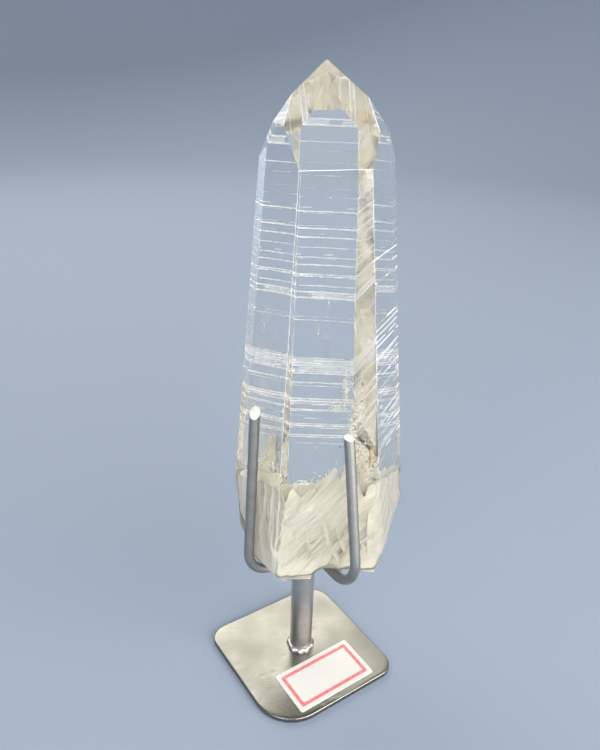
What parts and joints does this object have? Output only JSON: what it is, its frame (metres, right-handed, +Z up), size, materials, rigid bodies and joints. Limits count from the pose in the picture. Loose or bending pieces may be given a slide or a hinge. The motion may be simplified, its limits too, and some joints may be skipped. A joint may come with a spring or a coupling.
{
  "type": "lemurian phantom quartz crystal on a wire cradle stand",
  "caption": "Clear natural quartz point with a laddered shaft and a milky broken foot, held upright in a bent-wire cradle on a small square metal base.",
  "frame": {"origin": "middle of the base plate's underside, where the stand rests on a shelf or table", "axes": "+Z up along the rod; the plate's sides run along X and Y; -Y is the side that carries the label"},
  "size_m": [0.0593, 0.0624, 0.2004],
  "materials": {
    "quartz": "polished",
    "plate_steel": "satin",
    "wire_steel": "satin",
    "label_paper": "matte"
  },
  "bodies": {
    "root": {"base_plate": "plate_steel", "rod": "plate_steel", "cradle_wire_lower": "wire_steel", "cradle_wire_upper": "wire_steel", "crystal": "quartz", "label": "label_paper"}
  },
  "joints": []
}
